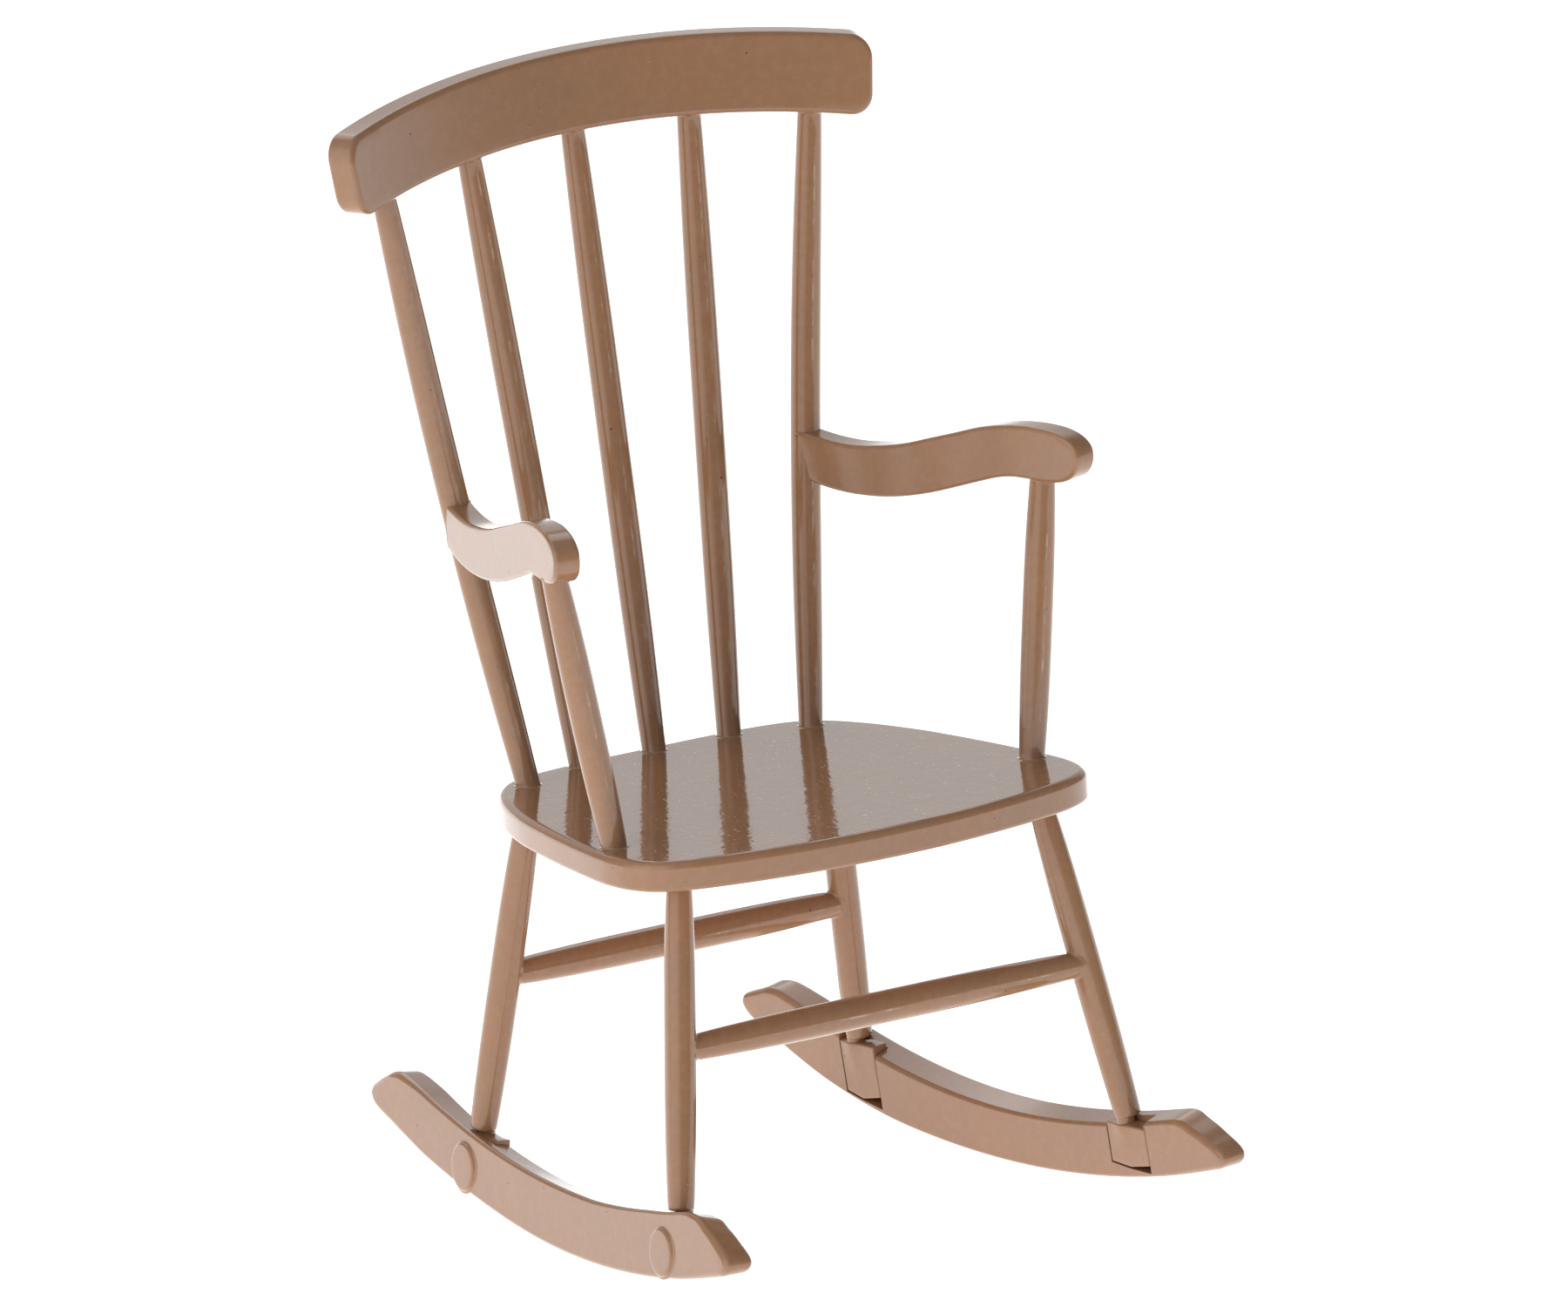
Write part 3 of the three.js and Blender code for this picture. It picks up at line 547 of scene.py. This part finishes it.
def arm_place(side):
    front = np.array([ARM_FRONT[0] * side, ARM_FRONT[1], 0])
    run = unit(np.array([ARM_REAR[0] * side, ARM_REAR[1], 0]) - front)
    out = np.array([run[1], -run[0], 0]) * side

    def place(y, z, w):
        y = y + ARM_NOSE[side] * np.clip((ARM_NOSE_FROM - y) / ARM_NOSE_RUN, 0, 1)
        points = front + np.outer((y - ARM_FRONT[1]) / run[1], run)
        points = points + np.outer(w - ARM_THICK / 2, out)
        points[:, 2] = z
        return points

    return place


for side, name in SIDES:
    arm = slab(f"armrest_{name}", *arm_chains(), ARM_THICK, ARM_RIMS, arm_place(side), rows=4)
    post = turned(
        f"post_{name}", swap(POST_FOOT, side), swap(POST_HEAD, side),
        bobbin(POST_END, POST_BELLY), ((on_seat, FILLET_SEAT), (bvh(arm), FILLET_ARM)),
        seam=(SEAM_POST, side + 9))
    pieces[f"arm_{name}"] = arm
    pieces[f"arm_post_{name}"] = post


# ---- rockers --------------------------------------------------------------------
def rocker_frame(side):
    """Front foot, then rearward, upward and outward directions of a rocker, and the distance
    between its feet."""
    front, rear = swap(LEG_FOOT_AT["front"], side), swap(LEG_FOOT_AT["rear"], side)
    along = unit(rear - front)
    level = np.array([along[1], -along[0], 0]) * side
    lean = math.radians(ROCKER_LEAN)
    up = np.array([0, 0, math.cos(lean)]) - level * math.sin(lean)
    out = level * math.cos(lean) + np.array([0, 0, math.sin(lean)])
    return front, along, up, out, np.linalg.norm(rear - front)


def foot_at(row, side):
    """How far along its rocker a foot stands."""
    return 0.0 if row == "front" else rocker_frame(side)[4]


def rocker_point(side, l, u, w):
    """Point l along, u up and w outward from a rocker's front foot."""
    front, along, up, out, _ = rocker_frame(side)
    l, u, w = np.broadcast_arrays(l, u, w)
    return front + np.outer(l, along) + np.outer(u, up) + np.outer(w, out)


def tread_at(l):
    """Height of the rolling edge before the tail's bend."""
    return ROCKER_LOW + ROCKER_TREAD - np.sqrt(ROCKER_TREAD ** 2 - (l - ROCKER_MID) ** 2)


def top_at(l):
    """Height of the upper edge before the tail's bend."""
    arc = np.sqrt(ROCKER_TOP ** 2 - (l - ROCKER_MID) ** 2)
    return ROCKER_LOW + ROCKER_HEIGHT + ROCKER_TOP - arc


def bend(side, l, start):
    """How far a tail has left its arc at l, for an edge that starts to bend at start."""
    share = max(0.0, l - start) / (ROCKER_ENDS[side][1] - start)
    return ROCKER_TAIL[side] * share ** ROCKER_TAIL_POWER


def rocker_top(side, l):
    """Upper edge of one rocker, midway through its thickness."""
    lift = ROCKER_NOSE_LIFT[side] * np.clip((NOSE_LIFT_FROM - l) / NOSE_LIFT_RUN, 0, 1)
    return top_at(l) + bend(side, l, TOP_BEND_START) + lift


def rocker_chains(side, count=170):
    """Side view of a rocker; its ends are placed by their height above the rolling edge."""
    front, rear = ROCKER_ENDS[side]

    def at(l, rise):
        share = min(1.0, rise / ROCKER_HEIGHT)
        low, high = bend(side, l, TREAD_BEND_START), bend(side, l, TOP_BEND_START)
        bent = low * (1 - share) + high * share
        return l, tread_at(l) + bent + rise

    loop = [at(l, 0) for l in np.linspace(front + TREAD_SHORT[0], rear - TREAD_SHORT[1], 26)]
    loop += [at(rear + l, rise) for l, rise in TAIL_OUTLINE]
    loop += [(l, rocker_top(side, l))
             for l in np.linspace(rear - TOP_SHORT[1], front + TOP_SHORT[0], 21)]
    loop += [at(front + l, rise) for l, rise in NOSE_OUTLINE]
    return pair(catmull(loop, 8, True), count)


def rocker_place(side):
    """Leaning sides, but a rolling edge that lies flat on the floor from side to side."""
    slope = math.tan(math.radians(ROCKER_LEAN))
    slope -= abs(rocker_frame(side)[1][0]) * math.sin(math.radians(REST_PITCH))

    def place(l, u, w):
        share = np.clip((u - tread_at(l)) / ROCKER_HEIGHT, 0, 1)
        level = (1 - share) * ROCKER_THICK * slope
        fade = np.clip((l - DRAFT_LOSS_FROM) / DRAFT_LOSS_RUN, 0, 1)
        draft = ROCKER_DRAFT * (1 - DRAFT_LOSS * fade)
        tilt = (draft * share - level) * (w / ROCKER_THICK - 0.5)
        return rocker_point(side, l, u + tilt, w - ROCKER_INSET)

    return place


def rocker_soften(ends):
    """Rims get rounder towards the tail and the nose."""
    front, rear = ends
    return lambda p: (
        1 + SOFT_TAIL * np.clip((p[:, 0] - rear + SOFT_TAIL_FROM) / SOFT_TAIL_RUN, 0, 1)
        + SOFT_NOSE * np.clip((front + SOFT_NOSE_FROM - p[:, 0]) / SOFT_NOSE_RUN, 0, 1))


def prism(name, outline, side, start, end):
    """Straight body on an outline in the side view of a rocker, between two depths."""
    rings = [rocker_point(side, outline[:, 0], outline[:, 1], w) for w in (start, end)]
    count = len(outline)
    faces = [(i, (i + 1) % count, count + (i + 1) % count, count + i) for i in range(count)]
    faces += [tuple(range(count)), tuple(range(count, 2 * count))]
    return mesh_object(name, np.vstack(rings), faces)


def pocket(side, row):
    """Cutter for the pocket that takes a foot plate, open upward and inward."""
    foot = foot_at(row, side)
    rear, front = foot + PLATE_BACK[row] + PLATE_GAP, foot - PLATE_FORE[row] - PLATE_GAP
    top = rocker_top(side, foot) + 6
    back, middle, fore = POCKET_LOW[row]
    outline = np.array([(rear, back), (rear, top), (front, top), (front, fore),
                        (foot - PLATE_KINK, middle)])
    inner = -ROCKER_INSET
    return prism("pocket", outline, side, inner - 1, inner + PLATE_DEPTH + PLATE_GAP)


for side, name in SIDES:
    rocker = slab(f"runner_{name}", *rocker_chains(side), ROCKER_THICK, ROCKER_RIMS,
                  rocker_place(side), soften=rocker_soften(ROCKER_ENDS[side]))
    cut(rocker, [pocket(side, "front"), pocket(side, "rear")])
    pieces[f"rocker_{name}"] = rocker


# ---- pins -----------------------------------------------------------------------
def pin(name, side, row):
    """Low round head on the outer face of a rocker, its edge softened by paint."""
    profile = [(h, PIN_HEAD + past) for h, past in PIN_SKIRT]
    profile += [(PIN_WALL + (PIN_RISE - PIN_WALL) * math.sin(t),
                 PIN_HEAD - PIN_ROUND * (1 - math.cos(t))) for t in np.linspace(0, np.pi / 2, 8)]
    profile += [(PIN_RISE + 0.01, PIN_HEAD * 0.6), (PIN_RISE + 0.02, PIN_HEAD * 0.25)]
    count = 72
    angle = 2 * np.pi * np.arange(count) / count
    face = ROCKER_THICK - ROCKER_INSET
    foot = foot_at(row, side)
    height = 0.5 * bend(side, foot, TOP_BEND_START) - PIN_DROP[row]
    points = [rocker_point(side, foot + r * np.cos(angle), height + r * np.sin(angle), face + h)
              for h, r in profile]
    faces = [tuple(range(count))] + tube_faces(len(profile), count)
    faces.append(tuple((len(profile) - 1) * count + i for i in range(count)))
    return mesh_object(name, np.vstack(points), faces, sharp=SHARP_PIN)


for side, name in SIDES:
    for row in ("front", "rear"):
        pieces[f"rocker_pin_{row}_{name}"] = pin(f"pin_{row}_{name}", side, row)


# ---- legs -----------------------------------------------------------------------
def leg_point(row, side, height):
    """Where a leg's axis is at a height."""
    foot, run = LEG_FOOT_AT[row], LEG_RUN[row]
    rise = height - foot[2]
    return swap((foot[0] + run[0] * rise, foot[1] + run[1] * rise, height), side)


def leg_radius(t):
    end = LEG_FOOT + (LEG_TOP - LEG_FOOT) * t
    return end + (LEG_BELLY - end) * belly_at(t)


def foot_plate(name, side, row):
    """Plate let into the rocker, with the leg's roundness dying out down its face."""
    count = 25
    foot = foot_at(row, side)
    front, rear = foot - PLATE_FORE[row], foot + PLATE_BACK[row]
    l = np.linspace(front, rear, count)
    lows = PLATE_LOW[row]
    low = np.interp(l, [front, foot - PLATE_KINK, rear], lows[::-1])
    top = rocker_top(side, foot) - ROCKER_DRAFT / 2

    def place(a, b, c):
        share = np.clip((b - lows[1]) / (top - lows[1]), 0, 1)
        swell = PLATE_SWELL * np.exp(-((a - foot) / PLATE_SWELL_WIDTH) ** 2) * share ** 2
        return rocker_point(side, a, b, c - ROCKER_INSET - swell * (1 - c / PLATE_DEPTH))

    return slab(name, np.c_[l, low], np.c_[l, np.full(count, top)], PLATE_DEPTH, PLATE_RIMS,
                place, rows=8, arc=4)


def leg(row, side, name):
    """Shaft, neck and foot plate as one piece, and a search tree over the shaft."""
    foot = foot_at(row, side)
    low = leg_point(row, side, LEG_FOOT_AT[row][2])
    high = leg_point(row, side, -SEAT_THICK)
    start = low + unit(high - low) * (rocker_top(side, foot) + SHAFT_LIFT)
    shaft = turned("shaft", start, high, leg_radius, (None, (on_seat, FILLET_LEG)),
                   edge=0.4, seam=(SEAM_LEG, side + 3))
    neck = turned("neck", rocker_point(side, foot, -1.5, -NECK_SINK)[0],
                  rocker_point(side, foot, rocker_top(side, foot) + 1.2, -NECK_SINK)[0],
                  lambda t: NECK_RADIUS, (None, None), edge=0.2, rings=6)
    tree = bvh(shaft)
    return join(f"support_{row}_{name}", [shaft, neck, foot_plate("plate", side, row)]), tree


trees = {}
for side, name in SIDES:
    for row in ("front", "rear"):
        pieces[f"leg_{row}_{name}"], trees[row, side] = leg(row, side, name)

for row in ("front", "rear"):
    height = STRETCHER_Z[row]
    pieces[f"stretcher_{row}"] = turned(
        f"rung_{row}", leg_point(row, -1, height), leg_point(row, 1, height),
        bobbin(STRETCHER_END, STRETCHER_BELLY),
        ((trees[row, -1], FILLET_LEG), (trees[row, 1], FILLET_LEG)), seam=(SEAM_LEG, 21))


# ---- enamel ---------------------------------------------------------------------
def enamel(name, specks=0.5, ripple=0.5, scratches=0.0, gloss=0.1, pebbles=0.0):
    """Thick glossy enamel: soft colour drift, dust nibs, pinholes, ripple in the gloss.

    gloss is the coat's roughness; the others say how much there is of each. Noise scales are
    per millimetre."""
    material = bpy.data.materials.new(name)
    material.use_nodes = True
    tree = material.node_tree
    nodes, links = tree.nodes, tree.links
    shader = nodes["Principled BSDF"]
    shader.inputs["Coat Weight"].default_value = 1.0
    shader.inputs["Coat Roughness"].default_value = gloss
    shader.inputs["Coat IOR"].default_value = 1.5
    shader.inputs["IOR"].default_value = 1.5
    shader.inputs["Specular IOR Level"].default_value = 0.12

    where = nodes.new("ShaderNodeTexCoord")
    mapped = nodes.new("ShaderNodeMapping")
    mapped.inputs["Scale"].default_value = (1000, 1000, 1000)
    links.new(where.outputs["Object"], mapped.inputs["Vector"])

    def noise_node(size, detail=2.0, rough=0.5, distortion=0.0):
        node = nodes.new("ShaderNodeTexNoise")
        node.inputs["Scale"].default_value = size
        node.inputs["Detail"].default_value = detail
        node.inputs["Roughness"].default_value = rough
        node.inputs["Distortion"].default_value = distortion
        links.new(mapped.outputs["Vector"], node.inputs["Vector"])
        return node.outputs["Fac"]

    def ramp(value, low, high, out_low=0.0, out_high=1.0):
        node = nodes.new("ShaderNodeMapRange")
        node.interpolation_type = "SMOOTHSTEP"
        keys = ("From Min", "From Max", "To Min", "To Max")
        for key, number in zip(keys, (low, high, out_low, out_high)):
            node.inputs[key].default_value = number
        links.new(value, node.inputs["Value"])
        return node.outputs["Result"]

    def mix(factor, a, b):
        node = nodes.new("ShaderNodeMix")
        node.data_type = "RGBA"
        links.new(factor, node.inputs["Factor"])
        for socket, value in (("A", a), ("B", b)):
            slot = [s for s in node.inputs if s.name == socket and s.type == "RGBA"][0]
            if isinstance(value, tuple):
                slot.default_value = (*value, 1)
            else:
                links.new(value, slot)
        return [s for s in node.outputs if s.type == "RGBA"][0]

    def math_node(kind, a, b):
        node = nodes.new("ShaderNodeMath")
        node.operation = kind
        for i, value in enumerate((a, b)):
            if isinstance(value, (int, float)):
                node.inputs[i].default_value = value
            else:
                links.new(value, node.inputs[i])
        return node.outputs[0]

    # colour: slow drift, paler clouds that are partly tone drift and partly painted sheen, darker
    # grain
    drift = ramp(noise_node(0.11, 3.0), 0.35, 0.65)
    colour = mix(drift, ENAMEL, ENAMEL_WARM)
    sheen_cloud = ramp(noise_node(0.9, 4.0, 0.6), 0.35, 0.8, 0.0, 0.09)
    colour = mix(sheen_cloud, colour, ENAMEL_PAINTED_HIGHLIGHT)
    grain = ramp(noise_node(5.5, 2.0, 0.7), 0.4, 0.7, 0.0, 0.16)
    colour = mix(grain, colour, tuple(0.72 * c for c in ENAMEL))
    # pinholes, few and in patches
    dots = nodes.new("ShaderNodeTexVoronoi")
    dots.inputs["Scale"].default_value = 0.42
    links.new(mapped.outputs["Vector"], dots.inputs["Vector"])
    rare = ramp(noise_node(0.35, 0.0), 0.62 - 0.12 * specks, 0.66 - 0.12 * specks)
    pin_hole = math_node("MULTIPLY", ramp(dots.outputs["Distance"], 0.045, 0.06, 1.0, 0.0), rare)
    colour = mix(math_node("MULTIPLY", pin_hole, 0.85), colour, SPECK)
    # painted highlight along the parting line, broken along its length
    line = nodes.new("ShaderNodeAttribute")
    line.attribute_name = "parting_line"
    patchy = ramp(noise_node(0.8, 2.0), 0.42, 0.6, 0.25, 1.0)
    broken = math_node("MULTIPLY", patchy, line.outputs["Fac"])
    colour = mix(math_node("MULTIPLY", broken, 0.9), colour, ENAMEL_PAINTED_HIGHLIGHT)
    links.new(colour, shader.inputs["Base Color"])

    rough = ramp(noise_node(0.7, 3.0), 0.3, 0.7, 0.10, 0.17)
    links.new(rough, shader.inputs["Roughness"])

    # relief, in hundredths of a millimetre: ripple, orange peel, dust nibs, pebbling
    waves = math_node("MULTIPLY", noise_node(0.45, 1.0), 1.2 * ripple)
    peel = math_node("MULTIPLY", noise_node(2.5, 2.0, 0.5), 0.4 * ripple)
    nibs = math_node("MULTIPLY", ramp(noise_node(1.3, 0.0), 0.83, 0.91), 3.5 * specks)
    pebble = math_node("MULTIPLY", noise_node(1.1, 1.0), 1.3 * pebbles)
    height = math_node("ADD", math_node("ADD", waves, peel), math_node("ADD", nibs, pebble))
    height = math_node("SUBTRACT", height, math_node("MULTIPLY", pin_hole, 3.0))
    if scratches:
        lines = nodes.new("ShaderNodeTexNoise")
        lines.inputs["Scale"].default_value = 1.0
        stretch = nodes.new("ShaderNodeMapping")
        stretch.inputs["Scale"].default_value = (9.0, 0.5, 1.0)
        stretch.inputs["Rotation"].default_value = (0, 0, 0.9)
        links.new(mapped.outputs["Vector"], stretch.inputs["Vector"])
        links.new(stretch.outputs["Vector"], lines.inputs["Vector"])
        mark = ramp(lines.outputs["Fac"], 0.70, 0.74)
        height = math_node("SUBTRACT", height, math_node("MULTIPLY", mark, scratches))
    bump = nodes.new("ShaderNodeBump")
    bump.inputs["Strength"].default_value = 1.0
    bump.inputs["Distance"].default_value = 0.00001
    links.new(height, bump.inputs["Height"])
    links.new(bump.outputs["Normal"], shader.inputs["Normal"])
    links.new(bump.outputs["Normal"], shader.inputs["Coat Normal"])
    return material


looks = {
    "flat": enamel("enamel_boards", specks=0.5, ripple=0.6, gloss=0.2),
    "seat": enamel("enamel_seat", specks=0.5, ripple=1.0, scratches=1.0, gloss=0.025, pebbles=1.0),
    "turned": enamel("enamel_turned", specks=0.4, ripple=1.0, gloss=0.1),
    "rocker": enamel("enamel_runners", specks=0.5, ripple=1.0, gloss=0.16),
}
for node, piece in pieces.items():
    kind = "seat" if node == "seat" else "rocker" if node.startswith("rocker") else (
        "flat" if node.startswith("crest") or node in ("arm_right", "arm_left") else "turned")
    piece.data.materials.clear()
    piece.data.materials.append(looks[kind])
    if kind != "turned" or node.startswith("leg"):
        weigh(piece)
    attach(piece, "root")
    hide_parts(node)

# ---- floor, light, camera -------------------------------------------------------
ground = bpy.data.meshes.new("floor")
ground.from_pydata([(-12, -12, 0), (12, -12, 0), (12, 12, 0), (-12, 12, 0)], [],
                   [(0, 1, 2, 3)])
floor = bpy.data.objects.new("floor", ground)
bpy.context.scene.collection.objects.link(floor)
floor.location.z = -0.00002  # just under the rockers
pale = bpy.data.materials.new("pale_floor")
pale.use_nodes = True
paint = pale.node_tree.nodes["Principled BSDF"]
paint.inputs["Base Color"].default_value = (0.8, 0.8, 0.8, 1)
paint.inputs["Roughness"].default_value = 0.9
paint.inputs["Emission Color"].default_value = (1, 1, 1, 1)
paint.inputs["Emission Strength"].default_value = FLOOR_GLOW
ground.materials.append(pale)
floor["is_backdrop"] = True

world = bpy.data.worlds.new("studio")
bpy.context.scene.world = world
world.use_nodes = True
sky = world.node_tree
sky.nodes.clear()
facing = sky.nodes.new("ShaderNodeTexCoord")


def glow(direction, inner, outer, strength):
    """A soft round source in the studio: full inside inner degrees, none past outer."""
    dot = sky.nodes.new("ShaderNodeVectorMath")
    dot.operation = "DOT_PRODUCT"
    dot.inputs[1].default_value = unit(direction)
    sky.links.new(facing.outputs["Generated"], dot.inputs[0])
    span = sky.nodes.new("ShaderNodeMapRange")
    span.interpolation_type = "SMOOTHSTEP"
    span.inputs["From Min"].default_value = math.cos(math.radians(outer))
    span.inputs["From Max"].default_value = math.cos(math.radians(inner))
    span.inputs["To Max"].default_value = strength
    sky.links.new(dot.outputs["Value"], span.inputs["Value"])
    return span.outputs["Result"]


level = glow(*GLOWS[0])
for source in GLOWS[1:]:
    add = sky.nodes.new("ShaderNodeMath")
    add.operation = "ADD"
    sky.links.new(level, add.inputs[0])
    sky.links.new(glow(*source), add.inputs[1])
    level = add.outputs[0]
base = sky.nodes.new("ShaderNodeMath")
base.operation = "ADD"
base.inputs[1].default_value = STUDIO_GLOW
sky.links.new(level, base.inputs[0])
light = sky.nodes.new("ShaderNodeBackground")
sky.links.new(base.outputs[0], light.inputs["Strength"])
light.inputs["Color"].default_value = (1, 0.99, 0.98, 1)
end = sky.nodes.new("ShaderNodeOutputWorld")
sky.links.new(light.outputs[0], end.inputs["Surface"])

turn, lift = math.radians(AZIMUTH), math.radians(ELEVATION)
away = Vector((math.sin(turn) * math.cos(lift), -math.cos(turn) * math.cos(lift),
               math.sin(lift)))
level_right = Vector((math.cos(turn), math.sin(turn), 0))
level_up = away.cross(level_right)
roll = math.radians(ROLL)
right = level_right * math.cos(roll) + level_up * math.sin(roll)
up = away.cross(right)
camera = bpy.data.objects.new("camera", bpy.data.cameras.new("camera"))
bpy.context.scene.collection.objects.link(camera)
stance = Matrix((right, up, away)).transposed().to_4x4()
camera.matrix_world = Matrix.Translation(Vector(AIM) + away * DISTANCE) @ stance
camera.data.sensor_width = SENSOR
camera.data.lens = LENS
camera.data.clip_end = 60
camera.data.dof.use_dof = False
bpy.context.scene.camera = camera
bpy.context.scene.view_settings.view_transform = "Standard"

plain = [[[float(x) for x in p] for p in b] for b in (cad_box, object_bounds())]
